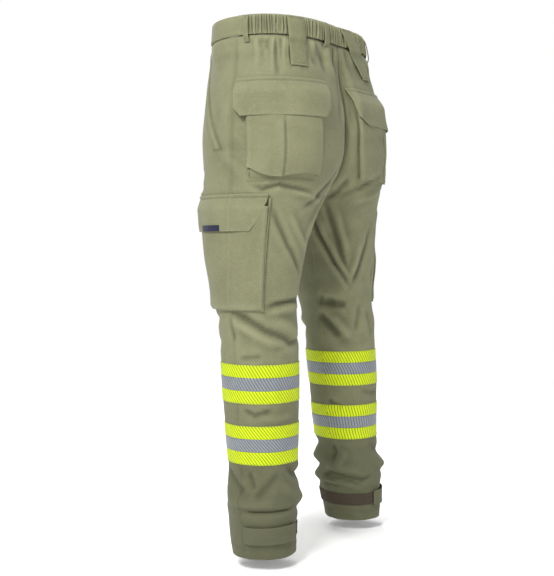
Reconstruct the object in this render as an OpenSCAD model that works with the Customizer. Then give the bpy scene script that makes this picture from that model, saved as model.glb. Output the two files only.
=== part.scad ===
// Work trousers for fire crews: a filled-out, hanging pair with back and cargo
// pockets, reflective shin trim and hook-and-loop cuffs.
// +Z is up, the wearer faces -Y, the wearer's left leg is at +X.
// The origin is the middle of the waist opening, in the plane of its top edge.

/* [Size] */
// Waist edge to hem, straight down
overall_h = 1060; // [1000:10:1120]
// Widths as a percentage of the regular fit
width_pct = 100; // [92:1:108]
// Front-to-back depths as a percentage of the regular fit
depth_pct = 100; // [92:1:108]
// Thickness of the leg cloth
cloth_t = 1.6; // [1.2:0.1:2.0]

/* [Waist] */
// Height of the waistband
band_h = 40; // [36:1:44]
// Width of the narrow belt loops
narrow_loop_w = 13; // [10:1:16]
// Width of the wide belt loops
wide_loop_w = 38; // [32:1:42]
// Free depth behind every belt loop
loop_gap = 6.2; // [5.6:0.2:6.8]

/* [Pockets] */
// How far the pockets stand off the cloth
pocket_t = 9; // [8:0.5:10]
// Thickness of flaps, tabs and pocket faces
ply_t = 1.6; // [1.2:0.1:1.8]

/* [Trim] */
// Height of one stripe of the three-stripe reflective trim
stripe_h = 25; // [23:1:26]
// Thickness of the trim
trim_t = 0.9; // [0.7:0.1:1.2]

/* [Cuffs] */
// Height of the hook-and-loop cuff tab
tab_h = 34; // [28:1:36]

/* [Hidden] */
$fn = 48;

SAGE = [0.56, 0.565, 0.42];
SAGE_DARK = [0.47, 0.48, 0.35];
LIME = [0.84, 0.95, 0.05];
SILVER = [0.55, 0.58, 0.60];
BROWN = [0.33, 0.29, 0.23];
NAVY = [0.13, 0.14, 0.24];
BRASS = [0.62, 0.55, 0.38];

// Every level of one trouser half, as two half-ellipses that meet at the outseam.
// Height above the hem, outseam x, front centre x, front depth, back centre x,
// back depth, outseam y, front squareness, back squareness.
ROWS = [
    [   0, 231, 170,  61, 170,  61, 63, 2.0, 2.0],
    [  60, 234, 168,  66, 168,  66, 60, 2.0, 2.0],
    [ 100, 238, 166,  71, 166,  71, 58, 2.0, 2.0],
    [ 160, 230, 162,  67, 162,  67, 54, 2.0, 2.0],
    [ 240, 231, 158,  72, 158,  72, 49, 2.0, 2.0],
    [ 320, 233, 156,  76, 156,  76, 45, 2.0, 2.0],
    [ 400, 233, 154,  78, 154,  78, 40, 2.0, 2.0],
    [ 480, 234, 153,  86, 153,  82, 33, 2.0, 2.0],
    [ 560, 230, 144, 102, 144,  92, 29, 2.0, 2.0],
    [ 640, 227, 130, 122, 130, 104, 28, 2.0, 2.0],
    [ 700, 227, 115, 138, 115, 115, 28, 2.1, 2.1],
    [ 720, 227,  95, 143, 108, 120, 28, 2.1, 2.2],
    [ 750, 226,  62, 152,  97, 128, 28, 2.1, 2.3],
    [ 800, 225,  26, 161,  86, 136, 27, 2.2, 2.4],
    [ 860, 221,   0, 165,  76, 136, 26, 2.2, 2.4],
    [ 920, 213,   0, 159,  66, 128, 24, 2.2, 2.4],
    [ 980, 202,   0, 151,  56, 116, 21, 2.2, 2.4],
    [1020, 196,   0, 146,  50, 110, 19, 2.2, 2.3],
    [1060, 193,   0, 142,  46, 106, 18, 2.2, 2.2]];

kw = width_pct / 100;
kd = depth_pct / 100;
kz = overall_h / 1060;
seam_top = 1060 - band_h;
FRONT = -999;
BACK = 999;

function row_at(h, i = 0) = i >= len(ROWS) - 2 || h < ROWS[i + 1][0] ? i : row_at(h, i + 1);
function row_slope(k) = let (
    a = ROWS[max(k - 1, 0)], b = ROWS[min(k + 1, len(ROWS) - 1)]) (b - a) / (b[0] - a[0]);
// Smooth level between the rows
function level(h) = let (
    i = row_at(h), a = ROWS[i], b = ROWS[i + 1], d = b[0] - a[0], t = (h - a[0]) / d)
    (2*t*t*t - 3*t*t + 1) * a + (t*t*t - 2*t*t + t) * d * row_slope(i)
    + (3*t*t - 2*t*t*t) * b + (t*t*t - t*t) * d * row_slope(i + 1);
function spow(v, e) = sign(v) * pow(abs(v), e);
// Point of a level at angle a: 0 is the outseam, positive is the back
function edge(v, a) = let (
    f = a < 0, c = f ? v[2] : v[4], ry = f ? v[3] : v[5], e = 2 / (f ? v[7] : v[8]))
    [c + (v[1] - c) * spow(cos(a), e), v[6] + ry * spow(sin(a), e)];
function outward(v, a) = abs(a) < 1.5 ? [1, 0]
    : let (d = edge(v, a + 1) - edge(v, a - 1)) [d[1], -d[0]] / norm(d);
function last_angle(c, rx, p) = 180 - acos(pow(min(1, max(0, c / rx)), p / 2));
function angle_at(v, a) = a <= FRONT ? -last_angle(v[2], v[1] - v[2], v[7])
    : a >= BACK ? last_angle(v[4], v[1] - v[4], v[8]) : a;
// Point at height h and angle a, standing o outside the cloth's outer face
function spot(h, a, o, gap = 0.15) = let (
    v = level(h), t = angle_at(v, a), p = edge(v, t) + o * outward(v, t))
    [max(p[0], gap) * kw, p[1] * kd, (h - 1060) * kz];
function at_h(t, h) = is_list(t) ? (t[0][1] >= BACK ? BACK : t[0][1] <= FRONT ? FRONT
    : lookup(h, t)) : t;
function angle_on(h, a0, a1, f) = let (v = level(h),
    p = angle_at(v, at_h(a0, h)), q = angle_at(v, at_h(a1, h))) p + (q - p) * f;
function steps(n) = [for (i = [0:n]) i / n];
function span(a, b, n) = [for (i = [0:n]) a + (b - a) * i / n];

// Faces of a closed two-layer grid of r rows and c columns
function grid_faces(r, c, ring) = let (n = r * c, m = ring ? c : c - 1) concat(
    [for (i = [0:r-2]) for (j = [0:m-1]) let (k = (j + 1) % c, p = i*c)
        each [[p+j, p+c+j, p+c+k], [p+j, p+c+k, p+k]]],
    [for (i = [0:r-2]) for (j = [0:m-1]) let (k = (j + 1) % c, p = n + i*c)
        each [[p+j, p+c+k, p+c+j], [p+j, p+k, p+c+k]]],
    [for (j = [0:m-1]) let (k = (j + 1) % c) each [[j, k, n+k], [j, n+k, n+j]]],
    [for (j = [0:m-1]) let (k = (j + 1) % c, p = (r-1)*c)
        each [[p+j, n+p+k, p+k], [p+j, n+p+j, n+p+k]]],
    ring ? [] : [for (i = [0:r-2]) let (p = i*c, q = p+c)
        each [[p, n+p, n+q], [p, n+q, q]]],
    ring ? [] : [for (i = [0:r-2]) let (p = i*c+c-1, q = p+c)
        each [[p, n+q, n+p], [p, q, n+q]]]);

// Curved sheet over heights hs and fractions ts between the angles a0 and a1.
// fi and fo give how far its inner and outer faces stand outside the cloth.
module sheet(hs, a0, a1, ts, fi, fo, gap = 0.15, ring = false) {
    c = len(ts) - (ring ? 1 : 0);
    polyhedron(points = [for (k = [0, 1]) for (i = [0:len(hs)-1]) for (j = [0:c-1])
            spot(hs[i], angle_on(hs[i], a0, a1, ts[j]), k == 0 ? fi(i, j) : fo(i, j), gap)],
        faces = grid_faces(len(hs), c, ring));
}
module plain_sheet(hs, a0, a1, n, oi, oo) {
    sheet(hs, a0, a1, steps(n), function (i, j) oi, function (i, j) oo);
}
// Ring right round one leg
module leg_ring(hs, n, oi, oo) {
    sheet(hs, -180, 180, steps(n), function (i, j) oi, function (i, j) oo, ring = true);
}
// Strip that runs across the centre line at the back or the front, up to angle a
module centre_strip(hs, a, n, oi, oo, back = true) {
    c = 2*n + 1;
    polyhedron(points = [for (k = [0, 1]) for (h = hs) for (j = [-n:n])
            let (s = back ? -sign(j) : sign(j), p = spot(h, angle_on(h, back ? BACK : FRONT, a,
                abs(j) / n), k == 0 ? oi : oo, 0)) [j == 0 ? 0 : s * p[0], p[1], p[2]]],
        faces = grid_faces(len(hs), c, false));
}
// Bellows pocket: a face that stands off the cloth and side walls that come back to it
module pouch(h0, h1, a0, a1, nh, na, foot, face, w = 0.015) {
    hs = concat([h0, h0 + 3], span(h0 + 3, h1, nh) );
    hl = [for (i = [0:len(hs)-1]) if (i != 1) hs[i]];
    ts = concat([0], span(w, 1 - w, na), [1]);
    sheet(hl, a0, a1, ts,
        function (i, j) i == 0 || j == 0 || j == len(ts) - 1 ? foot : face - sign(face)*ply_t,
        function (i, j) face);
}
// Belt loop: a strap with a foot at each end
module belt_loop(at, ab, w, h0, h1) {
    o = 5 + loop_gap;
    sheet([h0, h0 + 5, (h0 + h1) / 2, h1 - 5, h1], [[h0, ab - w], [h1, at - w]],
        [[h0, ab + w], [h1, at + w]], steps(2),
        function (i, j) i == 0 ? 0.8 : i == 4 ? 5.2 : i == 3 && w > 90 ? 5.2 : o,
        function (i, j) o + ply_t);
}
module other_side() { mirror([1, 0, 0]) children(); }

// ---- leg cloth ----
UPPER = [470, 520, 570, 620, 660, 680, 692, 700, 708, 717, 727, 740, 755, 775];
// The hand pocket's mouth runs down the front panel's outer edge
MOUTH = [[470, 0], [775, 0], [790, -5], [1020, -50]];
module left_front_panel() {
    color(SAGE) sheet(concat(UPPER, span(790, seam_top - 0.4, 7)), FRONT, MOUTH,
        steps(9), function (i, j) -cloth_t, function (i, j) 0);
}
module right_front_panel() { other_side() left_front_panel(); }
module left_back_panel() {
    color(SAGE) plain_sheet(concat(UPPER, span(790, seam_top - 0.4, 7)), 0, BACK, 11, -cloth_t, 0);
}
module right_back_panel() { other_side() left_back_panel(); }
module left_knee_section() {
    color(SAGE) leg_ring(span(380.2, 469.6, 3), 24, -cloth_t, 0);
}
module right_knee_section() { other_side() left_knee_section(); }
module left_shin_front() {
    color(SAGE) plain_sheet(span(0, 379.2, 13), -180, 0, 12, -cloth_t, 0);
}
module right_shin_front() { other_side() left_shin_front(); }
module left_shin_back() {
    color(SAGE) plain_sheet(span(0, 379.2, 13), 0, 180, 12, -cloth_t, 0);
}
module right_shin_back() { other_side() left_shin_back(); }

// ---- waist ----
module left_front_waistband() {
    color(SAGE) plain_sheet([seam_top, 1040, 1060], FRONT, -0.4, 8, -cloth_t, 4.4);
}
module right_front_waistband() { other_side() left_front_waistband(); }
module rear_waistband() {
    color(SAGE) centre_strip([seam_top, 1040, 1060], 0, 12, 3.2, 4.8);
}
module rear_waistband_facing() {
    color(SAGE_DARK) centre_strip([seam_top, 1040, 1060], 0, 12, -cloth_t, 0);
}
module waist_elastic() {
    color("ivory") centre_strip([seam_top + 4, 1056], 4, 12, 0.7, 2.6);
}
module narrow_belt_loops() {
    color(SAGE) for (s = [0, 1]) mirror([s, 0, 0]) {
        belt_loop(-56, -56, narrow_loop_w / 5.6, seam_top - 16, 1056);
        belt_loop(9, 9, narrow_loop_w / 4.8, seam_top - 16, 1056);
        belt_loop(s == 0 ? 89 : 52, s == 0 ? 89 : 52, narrow_loop_w / 5, seam_top - 16, 1056);
    }
}
module left_wide_belt_loop() {
    color(SAGE) belt_loop(57, 59, wide_loop_w / 4.7, 956, 1057);
}
module right_wide_belt_loop() {
    color(SAGE) other_side() belt_loop(95, 79, wide_loop_w / 5.2, 956, 1057);
}

// ---- pockets ----
module left_hand_pocket_bag() {
    ts = concat([0, 0.02], span(0.15, 0.97, 6), [1]);
    // The back ply comes up to the leg cloth at the outseam
    back = function (j) -3.4 - 6.6 * min(1, (1 - ts[j]) * 4);
    color(SAGE_DARK) sheet(concat([740], span(744, seam_top - 2, 8)), -76, -0.6, ts,
        function (i, j) back(j), function (i, j) i == 0 || j == 0 || j == len(ts) - 1
            ? -cloth_t - 0.6 : back(j) + ply_t);
}
module right_hand_pocket_bag() { other_side() left_hand_pocket_bag(); }
BACK_L = [[730, 11], [860, 8.5], [900, 7.5]];
BACK_R = [[730, 83], [860, 77.5], [900, 76.5]];
// The right back pocket sits further round towards the seat seam
RBACK_L = [[730, 43], [860, 44], [900, 44]];
RBACK_R = [[730, 110], [860, 105], [900, 104]];
module back_pocket(l, r, a0, a1) {
    color(SAGE) pouch(735, 902, l, r, 5, 7, 0.8, pocket_t);
    color(SAGE) sheet([929, 935], a0, a1, steps(8), function (i, j) 0.8,
        function (i, j) pocket_t + 1.4);
}
module left_back_pocket() { back_pocket(BACK_L, BACK_R, 0.4, 85); }
module right_back_pocket() { other_side() back_pocket(RBACK_L, RBACK_R, 34, 109); }
CARGO_F = [[478, -57], [700, -52]];
CARGO_B = [[478, 44], [700, 38]];
module left_cargo_pocket() {
    color(SAGE) pouch(478, 678, CARGO_F, CARGO_B, 5, 8, 0.8, pocket_t);
    color(SAGE) sheet([701, 707], -57, 36, steps(8), function (i, j) 0.8,
        function (i, j) pocket_t + 1.4);
}
module right_cargo_pocket() { other_side() left_cargo_pocket(); }
FLAP_O = pocket_t + 2.6;
module flap(h0, h1, a0, a1, n) {
    sheet([h0, h0 + 17, h1], a0, a1, steps(n), function (i, j) FLAP_O,
        function (i, j) FLAP_O + ply_t);
}
module left_back_flap() {
    color(SAGE) flap(856, 926, [[856, 6], [873, 1.5], [926, 0.5]],
        [[856, 79], [873, 84], [926, 85]], 16);
}
module right_back_flap() {
    color(SAGE) other_side() flap(856, 926, [[856, 40], [873, 34], [926, 34]],
        [[856, 96], [873, 106], [926, 109]], 16);
}
module left_cargo_flap() {
    color(SAGE) flap(632, 698, [[632, -54], [649, -58], [698, -57]],
        [[632, 23], [649, 29], [690, 36], [698, 36]], 16);
}
module right_cargo_flap() { other_side() left_cargo_flap(); }
// Hook tape under a flap and loop tape on the pocket face below it
module hook_tape(h0, h1, a0, a1, o) {
    sheet([h0, h1], a0, a1, steps(8), function (i, j) o, function (i, j) o + 0.6);
}
module left_back_flap_hooks() { color(BROWN) hook_tape(860, 880, 22, 64, FLAP_O - 1.1); }
module right_back_flap_hooks() {
    color(BROWN) other_side() hook_tape(860, 880, 54, 92, FLAP_O - 1.1);
}
module left_cargo_flap_hooks() { color(BROWN) hook_tape(637, 657, -38, 12, FLAP_O - 1.1); }
module right_cargo_flap_hooks() { other_side() left_cargo_flap_hooks(); }
module pocket_loop_tapes() {
    color(BROWN) for (s = [0, 1]) mirror([s, 0, 0]) {
        hook_tape(859, 881, s == 0 ? 20 : 52, s == 0 ? 66 : 94, pocket_t + 0.3);
        hook_tape(636, 658, -40, 14, pocket_t + 0.3);
    }
}
// Plain cloth tag in the edge of the left cargo flap
module label_tag() {
    color(NAVY) sheet([631, 643], -44, -16, steps(5), function (i, j) FLAP_O + ply_t + 0.4,
        function (i, j) FLAP_O + ply_t + 1.2);
}

// ---- fly ----
module fly_shield() {
    color(SAGE_DARK) centre_strip([862, 900, 960, seam_top - 4], -82, 3, -cloth_t - 2, -cloth_t - 0.6,
        false);
}
module zip_tapes() {
    color(SAGE_DARK) for (s = [0, 1]) mirror([s, 0, 0])
        plain_sheet([872, 920, 970, seam_top - 3], -89.2, -86, 2, 0.5, 1.3);
}
module zip_teeth() {
    color(BRASS) centre_strip([874, 920, 970, seam_top - 5], -89.5, 1, 1.4, 2.6, false);
}
// Fly line: the front centre line is straight, leaning out as it goes down
fly_lean = atan(0.075 * kd / kz);
module on_fly(h) {
    translate([0, spot(h, FRONT, 0, 0)[1], (h - 1060) * kz]) rotate([-fly_lean, 0, 0]) children();
}
module zip_slider() {
    color(BRASS) on_fly(1004) {
        translate([-3.6, -5.4, -5]) cube([7.2, 2, 10]);
        translate([-1.5, -6.6, -2]) cube([3, 1.4, 4]);
        translate([-2.6, -7.2, -22]) cube([5.2, 0.9, 22]);
    }
}
module fly_cover() {
    color(SAGE) plain_sheet([868, 920, 970, seam_top - 2], FRONT, -79, 3, 9, 9 + ply_t);
}
module waist_tab() {
    color(SAGE) on_fly(1040) difference() {
        translate([-28, -9.6, -15]) cube([66, 2, 30]);
        translate([-28, -11, -15]) rotate([0, 45, 0]) cube([9, 6, 9], center = true);
        translate([-28, -11, 15]) rotate([0, 45, 0]) cube([9, 6, 9], center = true);
    }
}
module snap_socket() {
    color(BRASS) on_fly(1040) translate([-16, 0, 0]) rotate([90, 0, 0]) difference() {
        translate([0, 0, 4.7]) cylinder(r = 6, h = 1.3);
        translate([0, 0, 5.1]) cylinder(r = 3, h = 2);
    }
}
module snap_stud() {
    color(BRASS) on_fly(1040) translate([-16, 0, 0]) rotate([90, 0, 0]) {
        translate([0, 0, 5.3]) cylinder(r = 2.4, h = 1.6);
        translate([0, 0, 6.8]) cylinder(r = 6, h = 0.8);
        translate([0, 0, 9.6]) cylinder(r = 6.5, h = 1.2);
    }
}

// ---- reflective trim ----
module stripe(top, k) {
    leg_ring([top - (k + 1) * stripe_h + (k == 2 ? 0 : 0.1), top - k * stripe_h - 0.1], 24, 0.7,
        0.7 + trim_t);
}
module left_upper_lime_trim() { color(LIME) { stripe(373, 0); stripe(373, 2); } }
module right_upper_lime_trim() { other_side() left_upper_lime_trim(); }
module left_upper_silver_trim() { color(SILVER) stripe(373, 1); }
module right_upper_silver_trim() { other_side() left_upper_silver_trim(); }
module left_lower_lime_trim() { color(LIME) { stripe(255, 0); stripe(255, 2); } }
module right_lower_lime_trim() { other_side() left_lower_lime_trim(); }
module left_lower_silver_trim() { color(SILVER) stripe(255, 1); }
module right_lower_silver_trim() { other_side() left_lower_silver_trim(); }

// ---- cuffs ----
module left_cuff_loop_strip() {
    color(BROWN) plain_sheet([34, 59], 14, 262, 20, 0.7, 1.8);
}
module right_cuff_loop_strip() { other_side() left_cuff_loop_strip(); }
module left_cuff_tab() {
    color(SAGE) sheet([46 - tab_h / 2, 46 + tab_h / 2], 0, 102, steps(9),
        function (i, j) 4.4, function (i, j) 4.4 + ply_t);
}
module right_cuff_tab() { other_side() left_cuff_tab(); }
module left_cuff_hooks() {
    color(BROWN) plain_sheet([35, 57], 60, 99, 5, 2.5, 4.1);
}
module right_cuff_hooks() { other_side() left_cuff_hooks(); }

left_front_panel();
right_front_panel();
left_back_panel();
right_back_panel();
left_front_waistband();
right_front_waistband();
rear_waistband();
rear_waistband_facing();
waist_elastic();
narrow_belt_loops();
left_wide_belt_loop();
right_wide_belt_loop();
left_hand_pocket_bag();
right_hand_pocket_bag();
left_back_pocket();
right_back_pocket();
left_cargo_pocket();
right_cargo_pocket();
pocket_loop_tapes();
fly_shield();
zip_tapes();
zip_teeth();
snap_socket();
zip_slider();
fly_cover();
waist_tab();
snap_stud();
left_back_flap();
right_back_flap();
left_cargo_flap();
right_cargo_flap();
left_back_flap_hooks();
right_back_flap_hooks();
left_cargo_flap_hooks();
right_cargo_flap_hooks();
label_tag();
left_knee_section();
right_knee_section();
left_shin_front();
right_shin_front();
left_shin_back();
right_shin_back();
left_upper_lime_trim();
right_upper_lime_trim();
left_upper_silver_trim();
right_upper_silver_trim();
left_lower_lime_trim();
right_lower_lime_trim();
left_lower_silver_trim();
right_lower_silver_trim();
left_cuff_loop_strip();
right_cuff_loop_strip();
left_cuff_tab();
right_cuff_tab();
left_cuff_hooks();
right_cuff_hooks();
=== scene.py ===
import bpy, math
import numpy as np
from mathutils import Vector, Matrix, Euler


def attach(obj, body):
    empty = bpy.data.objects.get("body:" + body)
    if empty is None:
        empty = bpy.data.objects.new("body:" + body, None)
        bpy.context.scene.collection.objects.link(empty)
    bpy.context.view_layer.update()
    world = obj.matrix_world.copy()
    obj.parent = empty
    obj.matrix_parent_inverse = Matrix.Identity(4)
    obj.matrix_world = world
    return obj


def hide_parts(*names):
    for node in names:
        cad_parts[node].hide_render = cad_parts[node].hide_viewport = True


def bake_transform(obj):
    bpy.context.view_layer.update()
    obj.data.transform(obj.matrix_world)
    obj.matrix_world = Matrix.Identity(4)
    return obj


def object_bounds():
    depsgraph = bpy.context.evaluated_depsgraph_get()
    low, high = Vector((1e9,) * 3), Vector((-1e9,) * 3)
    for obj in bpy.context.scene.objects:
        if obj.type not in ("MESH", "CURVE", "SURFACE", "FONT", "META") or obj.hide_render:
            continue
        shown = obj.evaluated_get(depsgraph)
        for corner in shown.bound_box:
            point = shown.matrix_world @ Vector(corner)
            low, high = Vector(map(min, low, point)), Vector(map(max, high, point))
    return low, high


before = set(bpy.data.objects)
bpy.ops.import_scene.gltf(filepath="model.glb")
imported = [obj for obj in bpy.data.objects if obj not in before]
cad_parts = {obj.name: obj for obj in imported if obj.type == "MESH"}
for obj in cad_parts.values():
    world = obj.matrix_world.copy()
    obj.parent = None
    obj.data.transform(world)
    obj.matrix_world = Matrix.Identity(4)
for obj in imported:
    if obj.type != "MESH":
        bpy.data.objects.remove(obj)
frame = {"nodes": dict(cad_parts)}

CAD_BOX = [[float(c) for c in v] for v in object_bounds()]
TOP = CAD_BOX[1][2]                     # waist edge
H = CAD_BOX[1][2] - CAD_BOX[0][2]       # waist edge to hem

# ------------------------------------------------------------------ body form
ROWS = np.array([
    [0, 231, 170, 61, 170, 61, 63, 2.0, 2.0], [60, 234, 168, 66, 168, 66, 60, 2.0, 2.0],
    [100, 238, 166, 71, 166, 71, 58, 2.0, 2.0], [160, 230, 162, 67, 162, 67, 54, 2.0, 2.0],
    [240, 231, 158, 72, 158, 72, 49, 2.0, 2.0], [320, 233, 156, 76, 156, 76, 45, 2.0, 2.0],
    [400, 233, 154, 78, 154, 78, 40, 2.0, 2.0], [480, 234, 153, 86, 153, 82, 33, 2.0, 2.0],
    [560, 230, 144, 102, 144, 92, 29, 2.0, 2.0], [640, 227, 130, 122, 130, 104, 28, 2.0, 2.0],
    [700, 227, 115, 138, 115, 115, 28, 2.1, 2.1], [720, 227, 95, 143, 108, 120, 28, 2.1, 2.2],
    [750, 226, 62, 152, 97, 128, 28, 2.1, 2.3], [800, 225, 26, 161, 86, 136, 27, 2.2, 2.4],
    [860, 221, 0, 165, 76, 136, 26, 2.2, 2.4], [920, 213, 0, 159, 66, 128, 24, 2.2, 2.4],
    [980, 202, 0, 151, 56, 116, 21, 2.2, 2.4], [1020, 196, 0, 146, 50, 110, 19, 2.2, 2.3],
    [1060, 193, 0, 142, 46, 106, 18, 2.2, 2.2]], float)
ROWS[:, :7] /= 1000.0
_h = ROWS[:, 0]
_s = np.empty_like(ROWS)
_s[1:-1] = (ROWS[2:] - ROWS[:-2]) / (_h[2:] - _h[:-2])[:, None]
_s[0] = (ROWS[1] - ROWS[0]) / (_h[1] - _h[0])
_s[-1] = (ROWS[-1] - ROWS[-2]) / (_h[-1] - _h[-2])

def level(h):
    h = np.asarray(h, float)
    i = np.clip(np.searchsorted(_h, h, side="right") - 1, 0, len(_h) - 2)
    d = (_h[i + 1] - _h[i])[..., None]
    t = ((h - _h[i])[..., None]) / d
    return ((2*t**3 - 3*t**2 + 1) * ROWS[i] + (t**3 - 2*t**2 + t) * d * _s[i]
            + (3*t**2 - 2*t**3) * ROWS[i + 1] + (t**3 - t**2) * d * _s[i + 1])

def spow(v, e):
    return np.sign(v) * np.abs(v) ** e

def edge(v, a):
    r = np.radians(a)
    f = a < 0
    c = np.where(f, v[..., 2], v[..., 4]); ry = np.where(f, v[..., 3], v[..., 5])
    e = 2 / np.where(f, v[..., 7], v[..., 8])
    return np.stack([c + (v[..., 1] - c) * spow(np.cos(r), e), v[..., 6] + ry * spow(np.sin(r), e)], -1)

def normal2(v, a):
    d = edge(v, a + 2.0) - edge(v, a - 2.0)
    n = np.stack([d[..., 1], -d[..., 0]], -1)
    return n / np.maximum(np.linalg.norm(n, axis=-1, keepdims=True), 1e-9)

def last_angle(v, back):
    c = v[..., 4] if back else v[..., 2]
    p = v[..., 8] if back else v[..., 7]
    q = np.clip(c / (v[..., 1] - c), 0, 1) ** (p / 2)
    return 180 - np.degrees(np.arccos(q))

# ------------------------------------------------------------------ folds
def wobble(x, y, z, f, seed):
    rs = np.random.RandomState(seed)
    out = 0
    for _ in range(6):
        k = rs.normal(size=3); k *= f * (0.6 + 0.9 * rs.rand()) / np.linalg.norm(k)
        out = out + np.sin(k[0]*x + k[1]*y + k[2]*z + rs.rand() * 6.283)
    return out / 3.4

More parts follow.
